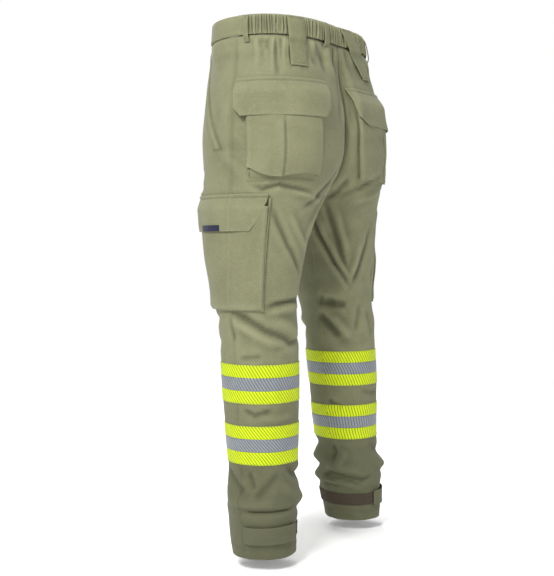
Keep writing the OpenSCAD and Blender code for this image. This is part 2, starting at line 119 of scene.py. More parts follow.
# each: side (0 both, 1 left, -1 right), points (height, angle), half width mm, depth mm (+ out)
FOLDS = [
    # below the rear waistband, left
    (1, [(1.014, 37), (.976, 37), (.926, 38)], 5, -4.5),
    (1, [(1.014, 28), (.984, 28)], 4, -2.5), (1, [(1.014, 20), (.990, 21)], 4, -2),
    (1, [(1.014, 70), (.984, 73), (.955, 76)], 5, -4),
    (1, [(1.014, 84), (.980, 91), (.935, 95)], 6, 4),
    (1, [(1.014, 80), (.975, 85), (.94, 90)], 5, -3.5),
    (1, [(1.010, 96), (.960, 101), (.90, 103), (.84, 100)], 7, -5),
    (1, [(.915, -4), (.844, -5), (.776, -4), (.726, 12)], 8, 3.5),
    (1, [(.900, -14), (.830, -16), (.760, -12)], 9, -2.5),
    # seat and crotch, left
    (1, [(.770, 118), (.735, 112), (.700, 96), (.672, 76)], 8, -7),
    (1, [(.724, 10), (.714, 30), (.722, 46), (.714, 70), (.706, 96)], 6, -6),
    (1, [(.710, 58), (.700, 84), (.690, 110)], 6, 5),
    (1, [(.745, 124), (.700, 118), (.640, 104), (.590, 96)], 8, 7),
    (1, [(.700, 150), (.640, 132), (.570, 122), (.520, 118)], 8, -8),
    (1, [(.690, 38), (.648, 52), (.604, 70), (.540, 108)], 7, -6),
    (1, [(.670, 62), (.630, 80), (.575, 112)], 7, 5),
    # under the cargo pocket, left
    (1, [(.484, 44), (.491, 72), (.496, 104), (.500, 130)], 5, -9),
    (1, [(.474, 48), (.479, 80), (.484, 118)], 6, 6),
    (1, [(.478, -8), (.462, 19), (.438, 47), (.406, 108)], 8, -10),
    (1, [(.464, -14), (.446, 16), (.420, 52), (.396, 100)], 8, 7),
    (1, [(.462, 56), (.446, 84), (.424, 118)], 8, 5),
    (1, [(.472, -4), (.412, 0)], 6, -4),
    (1, [(.386, 4), (.388, 26), (.390, 44)], 5, -3.5),
    (1, [(.404, 51), (.408, 80), (.418, 120)], 6, -5),
    (1, [(.430, 110), (.412, 140), (.420, 166)], 8, -5),
    # seat and crotch, right
    (-1, [(1.012, 104), (.960, 106), (.900, 108), (.830, 112)], 6, -4),
    (-1, [(.690, 172), (.628, 164), (.568, 148), (.512, 126)], 6, -11),
    (-1, [(.680, 164), (.620, 156), (.566, 142), (.530, 130)], 7, 7),
    (-1, [(.710, 150), (.656, 147), (.584, 138), (.545, 130)], 6, -8),
    (-1, [(.690, 140), (.640, 136), (.580, 128)], 7, 6),
    (-1, [(.650, 88), (.600, 98), (.552, 110), (.512, 126)], 8, -7),
    (-1, [(.620, 108), (.570, 116), (.530, 126)], 7, 4.5),
    (-1, [(.750, 117), (.720, 134), (.700, 152)], 6, -8),
    (-1, [(.758, 78), (.726, 107), (.704, 144)], 7, -6),
    (-1, [(.728, 70), (.706, 96), (.690, 128)], 7, 5),
    (-1, [(.500, 166), (.480, 172), (.478, 148)], 8, -7),
    (-1, [(.484, 170), (.478, 150), (.474, 130)], 7, -7),
    (-1, [(.466, 176), (.446, 172), (.400, 145)], 9, -10),
    (-1, [(.456, 160), (.430, 146), (.400, 128)], 8, 7),
    (-1, [(.480, 111), (.448, 114), (.412, 121)], 8, -5),
    (-1, [(.470, 96), (.430, 88), (.396, 84)], 9, -4),
    (-1, [(.640, 60), (.560, 66), (.500, 80)], 10, -4),
    # between the trim bands
    (1, [(.288, 6), (.277, 27), (.286, 56)], 5, -6),
    (1, [(.272, 30), (.268, 60), (.274, 96)], 5, 4),
    (-1, [(.270, 176), (.258, 168), (.250, 150)], 6, -8),
    (-1, [(.286, 120), (.278, 90), (.280, 60)], 6, -4),
    # above the cuff, left
    (1, [(.172, -44), (.152, -22), (.134, 0), (.128, 20)], 8, -8),
    (1, [(.170, 12), (.148, 20), (.130, 24)], 6, -6),
    (1, [(.172, 54), (.156, 58), (.128, 34), (.106, 22)], 9, -7),
    (1, [(.178, 74), (.158, 98), (.150, 124), (.158, 152)], 8, -11),
    (1, [(.146, 60), (.126, 84), (.112, 110), (.106, 140)], 9, 9),
    (1, [(.150, -10), (.142, 6), (.118, 12)], 8, 5),
    (1, [(.130, -40), (.112, -20), (.104, 4), (.109, 34), (.107, 66)], 8, 8),
    (1, [(.098, -12), (.0935, 18), (.0935, 50), (.093, 78), (.097, 104)], 3.6, -9),
    (1, [(.086, -30), (.080, 0), (.078, 40), (.080, 86)], 6, 3),
    (1, [(.094, 100), (.086, 124), (.090, 156)], 6, -6),
    (1, [(.150, 160), (.126, 176)], 9, -5),
    # the same on the right
    (-1, [(.168, 176), (.150, 170), (.130, 178)], 7, -9),
    (-1, [(.160, 150), (.136, 158), (.118, 172)], 8, 7),
    (-1, [(.088, 214), (.106, 182), (.098, 150), (.090, 124), (.102, 96)], 5, -10),
    (-1, [(.120, 200), (.118, 176), (.112, 148), (.106, 120)], 8, 9),
    (-1, [(.096, 205), (.094, 172), (.088, 148), (.074, 118)], 4.6, -7),
    (-1, [(.088, 200), (.084, 170), (.076, 140)], 4, 3),
    (-1, [(.074, 214), (.078, 180), (.075, 162)], 4.5, -5),
    (-1, [(.168, 110), (.150, 80), (.140, 40), (.146, 0)], 9, -8),
    (-1, [(.130, 100), (.116, 60), (.112, 20)], 9, 7),
    (-1, [(.108, 90), (.098, 50), (.096, 10), (.100, -40)], 6, -8),
    # front: crotch whiskers, knees and insteps, both sides
    (0, [(.760, -96), (.745, -70), (.752, -44)], 8, -7),
    (0, [(.735, -104), (.712, -76), (.706, -46)], 8, 6),
    (0, [(.715, -118), (.680, -92), (.662, -60)], 8, -8),
    (0, [(.700, -134), (.640, -118), (.580, -98)], 8, -7),
    (0, [(.690, -110), (.640, -96), (.600, -78)], 8, 5),
    (0, [(.800, -88), (.792, -66), (.802, -50)], 7, -4),
    (0, [(.470, -130), (.452, -96), (.456, -54), (.470, -24)], 8, -7),
    (0, [(.446, -140), (.430, -100), (.430, -60)], 8, 6),
    (0, [(.430, -150), (.412, -104), (.406, -64), (.416, -30)], 7, -6),
    (0, [(.172, -150), (.160, -110), (.156, -70), (.166, -50)], 8, -9),
    (0, [(.146, -160), (.132, -120), (.126, -80), (.134, -50)], 8, 8),
    (0, [(.122, -150), (.106, -110), (.102, -70), (.106, -40)], 6, -9),
    (0, [(.096, -150), (.086, -110), (.084, -70)], 7, 6),
    (0, [(.076, -140), (.070, -100), (.072, -60)], 5, -5)]

def stroke(h, a, pts, w):
    """1 on the line, falling to 0 away from it and towards its ends"""
    best = np.full(np.shape(h), 0.0)
    p = np.array(pts, float)
    k = 0.0016                           # metres of cloth in one degree
    pad = 2.6 * w
    lo, hi = (np.array(pts, float)[:, 0].min() - pad, np.array(pts, float)[:, 0].max() + pad)
    if h.max() < lo or h.min() > hi: return np.zeros(h.shape)
    P = np.column_stack([p[:, 1] * k, p[:, 0]])
    L = np.concatenate([[0], np.cumsum(np.linalg.norm(np.diff(P, axis=0), axis=1))])
    X = np.stack([a * k, h], -1)
    for i in range(len(P) - 1):
        d = P[i + 1] - P[i]; ll = float(d @ d)
        t = np.clip(((X - P[i]) @ d) / ll, 0, 1)
        e = X - (P[i] + t[..., None] * d)
        dist2 = (e ** 2).sum(-1)
        s = (L[i] + t * math.sqrt(ll)) / L[-1]
        end = np.clip(np.minimum(s, 1 - s) / 0.28, 0.0, 1); end = end * end * (3 - 2 * end)
        best = np.maximum(best, np.exp(-dist2 / (w * w)) * (0.06 + 0.94 * end))
    return best

def smooth(x, a, b):
    t = np.clip((x - a) / (b - a), 0, 1)
    return t * t * (3 - 2 * t)

MOUTH_H = [.78, .79, 1.02]
MOUTH_A = [-8.0, -12.0, -53.0]

def disp(h, a, side):
    h, a = np.broadcast_arrays(np.asarray(h, float), np.asarray(a, float))
    a = np.where(a > 180, a - 360, a)
    d = np.zeros(h.shape)
    for s, pts, w, dep in FOLDS:
        if s == 0 or s == side:
            if max(p[0] for p in pts) < .52 and w > 4.6: w, dep = w * 1.28, dep * .92
            # sharp creases keep a soft shoulder on each side
            for turn in (0, 360, -360):
                # on a closed leg a line may run on past the inseam
                if turn and (h.min() > .7 or (turn > 0 and max(p[1] for p in pts) < 150) or (turn < 0 and min(p[1] for p in pts) > -150)): continue
                q = stroke(h, a + turn, pts, w / 1000.0)
                if dep < 0: q = 1.15 * q - 0.30 * stroke(h, a + turn, pts, 2.3 * w / 1000.0)
                d += dep * .92 / 1000.0 * (q if not turn else q * (h < .7))
    r = np.radians(a)
    x, y = side * np.cos(r) * .1, np.sin(r) * .1
    flat = 1 - 0.6 * smooth(h, .17, .18) * (1 - smooth(h, .370, .385))   # the trim stiffens the shin
    d += 0.0026 * wobble(x, y, h, 34, 5 + side) * flat
    d += 0.0011 * wobble(x, y, h, 95, 15 + side) * flat
    # gathers falling from the rear waistband
    v = level(h)
    end = last_angle(v, True)
    g = smooth(a, 4, 14) * smooth(h, .90, 1.02)
    ph = a * 0.44 + 1.3 * np.sin(a * 0.11 + side) + 6 * (1.02 - h)
    d += 0.0026 * g * g * (np.sin(ph) + 0.55 * np.sin(2.3 * ph + 1))
    # slit of the hand pocket: the side piece lies a little deeper than the front edge
    ma = np.interp(h, MOUTH_H, MOUTH_A)
    d -= 0.0030 * smooth(a - ma, 0, 1.2) * (1 - smooth(a, ma + 9, ma + 22)) * smooth(h, .782, .80)
    d += 0.0010 * np.exp(-((a - ma + 1.6) / 1.6) ** 2) * smooth(h, .785, .80)
    # seat seam sinks in; nothing moves where the halves meet
    meet = np.minimum(np.abs(a - end), np.abs(a + last_angle(v, False)))
    d *= np.where(h > .695, 0.25 + 0.75 * smooth(meet, 0, 6), 1)
    d -= (0.0075 * np.exp(-((a - end) / 3.4) ** 2) - 0.0025 * np.exp(-((a - end + 11) / 5.0) ** 2)) * smooth(h, .705, .76) * (1 - smooth(h, .93, 1.0))
    # the fly lies flat
    d *= 1 - .88 * smooth(-a, 66, 76) * smooth(h, .82, .865)
    # the cloth lies flat where it runs under the waistband
    d *= 1 - smooth(h, 1.004, 1.0185)
    puff = smooth(h, .975, 1.003) * (1 - smooth(h, 1.012, 1.0194))
    d += .0028 * puff * smooth(a, -70, -40)
    # outseam: a fine ridge
    d += 0.0007 * np.exp(-(a / 1.1) ** 2)
    return d

def spot(h, a, o, side, fold=True, clampx=0.00012):
    h, a, o = np.broadcast_arrays(np.asarray(h, float), np.asarray(a, float), np.asarray(o, float))
    v = level(h)
    n = normal2(v, a)
    q = edge(v, a) + (o + (disp(h, a, side) if fold else 0))[..., None] * n
    x = np.maximum(q[..., 0], clampx)
    return np.stack([side * x, q[..., 1], TOP - H + h * (H / 1.06)], -1)

# ------------------------------------------------------------------ materials
def node(nt, kind, **kw):
    n = nt.nodes.new(kind)
    for k, val in kw.items():
        if k in n.inputs: n.inputs[k].default_value = val
        else: setattr(n, k, val)
    return n

def base_material(name, rough, spec=0.3, sheen=0.0, metal=0.0):
    m = bpy.data.materials.new(name); m.use_nodes = True
    nt = m.node_tree; b = nt.nodes["Principled BSDF"]
    b.inputs["Roughness"].default_value = rough
    b.inputs["Specular IOR Level"].default_value = spec
    b.inputs["Sheen Weight"].default_value = sheen
    b.inputs["Sheen Roughness"].default_value = 0.5
    b.inputs["Metallic"].default_value = metal
    return m, nt, b

def mixc(nt, fac, a, b, blend="MIX"):
    n = nt.nodes.new("ShaderNodeMix"); n.data_type = "RGBA"; n.blend_type = blend
    for sock, val in ((n.inputs[0], fac), (n.inputs[6], a), (n.inputs[7], b)):
        if hasattr(val, "links") or isinstance(val, bpy.types.NodeSocket): nt.links.new(val, sock)
        elif isinstance(val, tuple): sock.default_value = (*val, 1) if len(val) == 3 else val
        else: sock.default_value = val
    return n.outputs[2]

def mathn(nt, op, a, b=None, c=None, clamp=False):
    n = nt.nodes.new("ShaderNodeMath"); n.operation = op; n.use_clamp = clamp
    for i, val in enumerate((a, b, c)):
        if val is None: continue
        if isinstance(val, bpy.types.NodeSocket): nt.links.new(val, n.inputs[i])
        else: n.inputs[i].default_value = val
    return n.outputs[0]

def ramp(nt, fac, lo, hi):
    n = nt.nodes.new("ShaderNodeMapRange"); n.interpolation_type = "SMOOTHSTEP"
    nt.links.new(fac, n.inputs[0]); n.inputs[1].default_value = lo; n.inputs[2].default_value = hi
    return n.outputs[0]

def cloth(name, col, dark, light, weave=0.0011, twill=True, bump=0.35, sheen=0.06):
    m, nt, b = base_material(name, 0.86, 0.22, sheen)
    tc = nt.nodes.new("ShaderNodeTexCoord")
    uv, ob = tc.outputs["UV"], tc.outputs["Object"]
    sep = nt.nodes.new("ShaderNodeSeparateXYZ"); nt.links.new(uv, sep.inputs[0])
    u, w = sep.outputs[0], sep.outputs[1]
    big = node(nt, "ShaderNodeTexNoise", Scale=9.0, Detail=5.0, Roughness=0.6); nt.links.new(ob, big.inputs["Vector"])
    mid = node(nt, "ShaderNodeTexNoise", Scale=85.0, Detail=4.0, Roughness=0.65); nt.links.new(ob, mid.inputs["Vector"])
    fine = node(nt, "ShaderNodeTexNoise", Scale=430.0, Detail=4.0, Roughness=0.75); nt.links.new(uv, fine.inputs["Vector"])
    # yarns: the warp leans into a diagonal where the cloth is twill
    k = 6.28318 / weave
    diag = mathn(nt, "SINE", mathn(nt, "MULTIPLY", mathn(nt, "ADD", u, w), k * 0.7) if twill
                 else mathn(nt, "MULTIPLY", u, k))
    cross = mathn(nt, "SINE", mathn(nt, "MULTIPLY", w, k * 1.35))
    yarn = mathn(nt, "MULTIPLY_ADD", cross, 0.35, diag)
    c1 = mixc(nt, ramp(nt, big.outputs[0], 0.32, 0.70), dark, col)
    c2 = mixc(nt, mathn(nt, "MULTIPLY", ramp(nt, mid.outputs[0], 0.42, 0.75), 0.40), c1, light)
    c3 = mixc(nt, mathn(nt, "MULTIPLY", ramp(nt, yarn, -1.2, 1.2), 0.22), c2, tuple(x * 0.62 for x in dark))
    c4 = mixc(nt, mathn(nt, "MULTIPLY", ramp(nt, fine.outputs[0], 0.45, 0.68), 0.55), mixc(nt, mathn(nt, "SUBTRACT", 0.40, mathn(nt, "MULTIPLY", ramp(nt, fine.outputs[0], 0.30, 0.52), 0.40)), c3, tuple(x * 0.55 for x in dark)), light)
    # painted highlight on the crowns of folds and painted shade in their bottoms, read from the painted fold-shading
    # attribute
    at = nt.nodes.new("ShaderNodeAttribute"); at.attribute_name = "crown"
    sh = at.outputs["Fac"]
    # low mixes towards a very dark sage (painted shade), top towards a pale sage (painted highlight)
    low = mathn(nt, "MULTIPLY", mathn(nt, "MINIMUM", sh, 0.0), -0.60)
    top = mathn(nt, "MULTIPLY", mathn(nt, "MAXIMUM", sh, 0.0), 0.30)
    c5 = mixc(nt, low, c4, tuple(x * 0.22 for x in dark))
    c6 = mixc(nt, top, c5, tuple(x * 1.35 for x in light))
    # painted shade: the cloth darkens towards the hems, where the light falls off
    so = nt.nodes.new("ShaderNodeSeparateXYZ"); nt.links.new(ob, so.inputs[0])
    hem_falloff_shade = mathn(nt, "MULTIPLY", mathn(nt, "SUBTRACT", 1.0, ramp(nt, so.outputs[2], TOP - .95, TOP - .66)), 0.70)
    c7 = mixc(nt, hem_falloff_shade, c6, tuple(x * 0.42 for x in dark))
    nt.links.new(c7, b.inputs["Base Color"])
    hgt = mathn(nt, "ADD", mathn(nt, "MULTIPLY", yarn, 0.00010), mathn(nt, "MULTIPLY", mid.outputs[0], 0.0016))
    bp = node(nt, "ShaderNodeBump", Strength=bump, Distance=1.0); nt.links.new(hgt, bp.inputs["Height"])
    nt.links.new(bp.outputs[0], b.inputs["Normal"])
    rr = mathn(nt, "MULTIPLY_ADD", mid.outputs[0], 0.16, 0.76); nt.links.new(rr, b.inputs["Roughness"])
    return m

def tape(name, col, gap, pitch=0.0064, lean=0.55, rough=0.45, emit=0.0, metal=0.0, fill=0.80):
    m, nt, b = base_material(name, rough, 0.22, 0.0, metal)
    tc = nt.nodes.new("ShaderNodeTexCoord")
    sep = nt.nodes.new("ShaderNodeSeparateXYZ"); nt.links.new(tc.outputs["UV"], sep.inputs[0])
    s = mathn(nt, "ADD", sep.outputs[0], mathn(nt, "MULTIPLY", sep.outputs[1], lean))
    f = mathn(nt, "FRACT", mathn(nt, "DIVIDE", s, pitch))
    d = mathn(nt, "ABSOLUTE", mathn(nt, "SUBTRACT", f, 0.5))          # 0 in the stripe, 0.5 at a gap
    on = mathn(nt, "SUBTRACT", 1.0, ramp(nt, d, fill / 2 - 0.03, fill / 2 + 0.03))
    n1 = node(nt, "ShaderNodeTexNoise", Scale=60.0, Detail=4.0); nt.links.new(tc.outputs["Object"], n1.inputs["Vector"])
    n2 = node(nt, "ShaderNodeTexNoise", Scale=1500.0, Detail=1.0); nt.links.new(tc.outputs["UV"], n2.inputs["Vector"])
    tone = mixc(nt, ramp(nt, n1.outputs[0], 0.3, 0.75), tuple(x * 0.88 for x in col), col)
    c = mixc(nt, on, gap, tone)
    nt.links.new(c, b.inputs["Base Color"])
    # emission: a painted glow in the stripe colour
    if emit:
        nt.links.new(c, b.inputs["Emission Color"]); b.inputs["Emission Strength"].default_value = emit
    hgt = mathn(nt, "ADD", mathn(nt, "MULTIPLY", on, 0.00016), mathn(nt, "MULTIPLY", n2.outputs[0], 0.00003))
    bp = node(nt, "ShaderNodeBump", Strength=0.7, Distance=1.0); nt.links.new(hgt, bp.inputs["Height"])
    nt.links.new(bp.outputs[0], b.inputs["Normal"])
    nt.links.new(mathn(nt, "MULTIPLY_ADD", n1.outputs[0], 0.2, rough - 0.1), b.inputs["Roughness"])
    return m

def pile(name, col, dark):
    m, nt, b = base_material(name, 0.95, 0.1, 0.06)
    tc = nt.nodes.new("ShaderNodeTexCoord")
    v = node(nt, "ShaderNodeTexVoronoi", Scale=950.0); nt.links.new(tc.outputs["UV"], v.inputs["Vector"])
    n1 = node(nt, "ShaderNodeTexNoise", Scale=220.0, Detail=5.0); nt.links.new(tc.outputs["UV"], n1.inputs["Vector"])
    c = mixc(nt, ramp(nt, v.outputs[0], 0.1, 0.7), col, dark)
    nt.links.new(mixc(nt, mathn(nt, "MULTIPLY", n1.outputs[0], 0.5), c, tuple(x * 1.5 for x in col)), b.inputs["Base Color"])
    hgt = mathn(nt, "MULTIPLY", mathn(nt, "ADD", v.outputs[0], n1.outputs[0]), 0.0006)
    bp = node(nt, "ShaderNodeBump", Strength=0.6, Distance=1.0); nt.links.new(hgt, bp.inputs["Height"])
    nt.links.new(bp.outputs[0], b.inputs["Normal"])
    return m

def metalm(name, col):
    m, nt, b = base_material(name, 0.32, 0.5, 0.0, 1.0)
    tc = nt.nodes.new("ShaderNodeTexCoord")
    n1 = node(nt, "ShaderNodeTexNoise", Scale=500.0, Detail=5.0); nt.links.new(tc.outputs["Object"], n1.inputs["Vector"])
    nt.links.new(mixc(nt, ramp(nt, n1.outputs[0], 0.35, 0.7), tuple(x * 0.55 for x in col), col), b.inputs["Base Color"])
    nt.links.new(mathn(nt, "MULTIPLY_ADD", n1.outputs[0], 0.35, 0.18), b.inputs["Roughness"])
    return m

SAGE = cloth("sage_twill", (.176, .179, .100), (.142, .145, .079), (.212, .214, .126))
SEAMC = cloth("sage_turned_edge", (.172, .177, .096), (.138, .142, .075), (.205, .209, .120))
LINING = cloth("sage_inside", (.120, .122, .068), (.095, .097, .053), (.145, .148, .085), twill=False)
THREAD = cloth("sage_thread", (.235, .238, .145), (.20, .203, .12), (.27, .273, .175), weave=0.0006, twill=False)
# the lime tape has a faint painted glow (emission) so it reads brighter than its lit colour
LIME = tape("lime_tape", (.49, .60, .002), (.11, .145, .010), fill=0.74, rough=.6, emit=0.04)
SILVER = tape("silver_tape", (.215, .235, .258), (.080, .088, .088), rough=0.42, metal=0.15, fill=0.70)
BROWN = pile("brown_pile", (.060, .048, .034), (.026, .020, .014))
NAVY = cloth("navy_tag_weave", (.012, .013, .036), (.009, .010, .028), (.022, .022, .055), weave=0.0007, twill=False)
BRASS = metalm("aged_brass", (.60, .47, .26))
ELASTIC = cloth("woven_elastic", (.42, .41, .36), (.34, .33, .29), (.5, .49, .44), weave=0.0016, twill=False)

# ------------------------------------------------------------------ mesh helpers
SIZES = {}

def cut_size(outer, ring):
    M = np.concatenate([outer, outer[:, :1]], 1) if ring else outer
    w = np.linalg.norm(np.diff(M, axis=1), axis=-1).sum(1)
    l = np.linalg.norm(np.diff(M, axis=0), axis=-1).sum(0)
    p, q, r, t = M[:-1, :-1], M[:-1, 1:], M[1:, 1:], M[1:, :-1]
    area = .5 * np.linalg.norm(np.cross(r - p, t - q), axis=-1).sum()
    return float(w.max()), float(l.max()), float(min(area, w.max() * l.max()))

# painted fold shading from the surface curvature: negative in hollows (painted shade), positive on crowns (painted
# highlight)
def crown(outer, inner, ring):
    def sh(M, di, dj):
        n, m = M.shape[:2]
        i = np.clip(np.arange(n) + di, 0, n - 1)
        j = (np.arange(m) + dj) % m if ring else np.clip(np.arange(m) + dj, 0, m - 1)
        return M[i][:, j]
    e, n = sh(outer, 0, 1) - sh(outer, 0, -1), sh(outer, 1, 0) - sh(outer, -1, 0)
    nr = np.cross(e, n); nr /= np.maximum(np.linalg.norm(nr, axis=-1, keepdims=True), 1e-12)
    nr *= np.sign(((outer - inner) * nr).sum(-1, keepdims=True))
    tot = 0
    for k, g in ((1, .9), (2, 1.0), (4, .8)):
        N, S, E, W = sh(outer, k, 0), sh(outer, -k, 0), sh(outer, 0, k), sh(outer, 0, -k)
        lap = ((N + S + E + W) / 4 - outer)
        far = (np.linalg.norm(N - outer, axis=-1) + np.linalg.norm(S - outer, axis=-1) + np.linalg.norm(E - outer, axis=-1) + np.linalg.norm(W - outer, axis=-1)) / 4
        tot = tot - g * (lap * nr).sum(-1) / np.maximum(far, 1e-5)
    return np.clip(1.7 * (tot - np.median(tot)), -1, 1)

def grid(name, outer, inner, mat, ring=False, uv=None, flip=False, mat_in=None, sharp=50, paint=None):
    r, c = outer.shape[:2]
    n = r * c
    pts = np.concatenate([outer.reshape(-1, 3), inner.reshape(-1, 3)])
    ii, jj = np.meshgrid(np.arange(r - 1), np.arange(c if ring else c - 1), indexing="ij")
    kk = (jj + 1) % c
    A, B, C, D = ii*c + jj, ii*c + kk, (ii + 1)*c + kk, (ii + 1)*c + jj
    f_out = np.stack([A, B, C, D], -1).reshape(-1, 4)
    f_in = np.stack([A + n, D + n, C + n, B + n], -1).reshape(-1, 4)
    j = np.arange(c if ring else c - 1); k = (j + 1) % c
    bot = np.stack([j, j + n, k + n, k], -1)
    q = (r - 1) * c
    top = np.stack([q + j, q + k, q + k + n, q + j + n], -1)
    parts = [f_out, f_in, bot, top]
    if not ring:
        i = np.arange(r - 1) * c
        parts += [np.stack([i, i + c, i + c + n, i + n], -1),
                  np.stack([i + c - 1, i + c - 1 + n, i + 2*c - 1 + n, i + 2*c - 1], -1)]
    F = np.concatenate(parts)
    if flip: F = F[:, ::-1]
    me = bpy.data.meshes.new(name)
    me.from_pydata(pts.tolist(), [], F.tolist())
    ob = bpy.data.objects.new(name, me); bpy.context.scene.collection.objects.link(ob)
    if uv is None:
        du = np.linalg.norm(np.diff(outer, axis=1), axis=-1)
        uu = np.concatenate([np.zeros((r, 1)), np.cumsum(du, axis=1)], 1)
        uu = uu - uu[:, c // 2][:, None]
        uv = np.stack([uu, outer[..., 2]], -1)
    U = np.concatenate([uv.reshape(-1, 2)] * 2)
    lay = me.uv_layers.new(name="UVMap")
    li = np.empty(len(me.loops), int); me.loops.foreach_get("vertex_index", li)
    lay.data.foreach_set("uv", U[li].astype(np.float32).ravel())
    # painted fold shading, plus any painted lines, stored as a point attribute for the cloth material
    cr = crown(outer, inner, ring)
    if paint is not None: cr = np.clip(cr + paint, -1, 1)
    cr = np.concatenate([cr.ravel(), np.zeros(n)]).astype(np.float32)
    me.attributes.new("crown", "FLOAT", "POINT").data.foreach_set("value", cr)
    me.materials.append(mat)
    if mat_in is not None:
        me.materials.append(mat_in)
        idx = np.zeros(len(me.polygons), int); idx[len(f_out):len(f_out) + len(f_in)] = 1
        me.polygons.foreach_set("material_index", idx)
    me.polygons.foreach_set("use_smooth", np.ones(len(me.polygons), bool))
    me.validate(); me.update()
    me.set_sharp_from_angle(angle=math.radians(sharp))
    SIZES[ob.name] = cut_size(outer, ring)
    return ob

def tbl(t, h):
    if isinstance(t, (int, float)): return np.full(np.shape(h), float(t))
    p = np.array(t, float)
    return np.interp(h, p[:, 0], p[:, 1])

def ease(n, e0, e1, length):
    """n+1 fractions with one extra fine step at each end, e0 and e1 metres wide"""
    return np.unique(np.concatenate([[0, min(.2, e0 / length)], np.linspace(min(.2, e0 / length), 1 - min(.2, e1 / length), n), [1]]))

def patch(name, side, h0, h1, a0, a1, nh, na, fo, thick, mat, width=.16, fold=True, extra_h=(), mat_in=None, lip=0.0009, sharp=50, warp=None):
    """A stitched leaf of cloth. fo(h, t, s, a) is how far its outer face stands off the leg cloth."""
    s = ease(nh, lip, lip, h1 - h0); hs = h0 + (h1 - h0) * s
    if len(extra_h):
        hs = np.unique(np.concatenate([hs, np.array(extra_h, float)])); s = (hs - h0) / (h1 - h0)
    t = ease(na, lip, lip, width)
    Hh, T = np.meshgrid(hs, t, indexing="ij"); S = np.meshgrid(s, t, indexing="ij")[0]
    A = tbl(a0, Hh) + (tbl(a1, Hh) - tbl(a0, Hh)) * T
    O = fo(Hh, T, S, A)
    if warp is not None: Hh = Hh + warp(T, S)
    tk = thick if np.ndim(thick) else np.full(O.shape, thick)
    rim = np.zeros(O.shape); rim[0, :] = rim[-1, :] = rim[:, 0] = rim[:, -1] = 1
    out = spot(Hh, A, O - rim * tk * 0.28, side, fold)
    inn = spot(Hh, A, O - tk + rim * tk * 0.28, side, fold)
    ob = grid(name, out, inn, mat, flip=(side < 0), mat_in=mat_in, sharp=sharp)
    return ob

def rim_fall(t, w):
    """0 at both edges, 1 inside"""
    return smooth(np.minimum(t, 1 - t), 0, w)

STITCH = {}
def stitches(body, side, pts, o, blendkey=None, step=.0036, ln=.0026, w=.00042):
    """Thread along a line of (height, angle) points, lying at o off the leg cloth"""
    p = np.array(pts, float)
    dense = []
    for i in range(len(p) - 1):
        n = max(2, int(np.hypot((p[i+1, 0] - p[i, 0]), (p[i+1, 1] - p[i, 1]) * .0022) / .0015))
        f = np.linspace(0, 1, n, endpoint=(i == len(p) - 2))[:, None]
        dense.append(p[i] + (p[i+1] - p[i]) * f)
    d = np.concatenate(dense)
    oo = o(d[:, 0], d[:, 1]) if callable(o) else o
    P = spot(d[:, 0], d[:, 1], oo, side)
    Pn = spot(d[:, 0], d[:, 1], oo + .001, side) - P
    L = np.concatenate([[0], np.cumsum(np.linalg.norm(np.diff(P, axis=0), axis=1))])
    at = np.arange(step * .5, L[-1] - ln * .5, step)
    if not len(at): return
    def on(x, M): return np.stack([np.interp(x, L, M[:, k]) for k in range(3)], -1)
    c, e0, e1, n = on(at, P), on(at - ln / 2, P), on(at + ln / 2, P), on(at, Pn)
    n /= np.linalg.norm(n, axis=1, keepdims=True)
    t = e1 - e0; t /= np.linalg.norm(t, axis=1, keepdims=True)
    b = np.cross(n, t)
    v = np.stack([e0 - n * .0001, e1 - n * .0001, c + b * w, c - b * w, c + n * w * 1.1, c - n * w * .6], 1)
    STITCH.setdefault((body, blendkey), []).append(v)

def build_stitches():
    made = []
    tri = np.array([[0, 2, 4], [2, 1, 4], [1, 3, 4], [3, 0, 4], [2, 0, 5], [1, 2, 5], [3, 1, 5], [0, 3, 5]])
    for (body, key), parts in STITCH.items():
        v = np.concatenate(parts)
        F = (tri[None] + 6 * np.arange(len(v))[:, None, None]).reshape(-1, 3)
        me = bpy.data.meshes.new("x"); me.from_pydata(v.reshape(-1, 3).tolist(), [], F.tolist())
        nm = "thread_" + body + ("" if key is None else "_" + key[0])
        ob = bpy.data.objects.new(nm, me); bpy.context.scene.collection.objects.link(ob); me.name = nm
        co = v.reshape(-1, 3)
        lay = me.uv_layers.new(name="UVMap")
        li = np.empty(len(me.loops), int); me.loops.foreach_get("vertex_index", li)
        lay.data.foreach_set("uv", np.stack([co[:, 0] + co[:, 1], co[:, 2]], -1)[li].astype(np.float32).ravel())
        me.materials.append(THREAD)
        me.polygons.foreach_set("use_smooth", np.ones(len(me.polygons), bool))
        if key is None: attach(ob, "trousers")
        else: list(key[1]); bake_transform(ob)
        made.append(ob)
    return made

NAME = {1: "left", -1: "right"}
Z = lambda h: TOP - H + h * (H / 1.06)
def knee(side):
    s = NAME[side]
    return ("trousers", s + "_shin", (side*.154, .038, Z(.474)), (side*.154, .038, Z(.381)))

def put(ob, body, slot, *nodes):
    if isinstance(body, tuple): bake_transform(ob)
    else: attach(ob, body)
    if nodes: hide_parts(*nodes)
    if ob.name in SIZES:
        w, l, area = SIZES[ob.name]
        n = ob.name
        if min(w, l) >= .0102:
            held = ("gathered" if n == "rear_band" else "hung" if "leg_cloth" in n or "_pocket_flap" in n
                    else "folded" if "bellows" in n or "_fold_" in n or "_loop" in n else "laid")
            on = ["rear_band"] if "leg_cloth" in n else ["left_leg_cloth", "right_leg_cloth"] if "rear_band" in n \
                else [("right" if n.startswith("right") or "_right_" in n else "left") + "_leg_cloth"]
            max(area, .3 * w * l)
    return ob

T = .0012       # cloth as sewn, mostly double at the seams
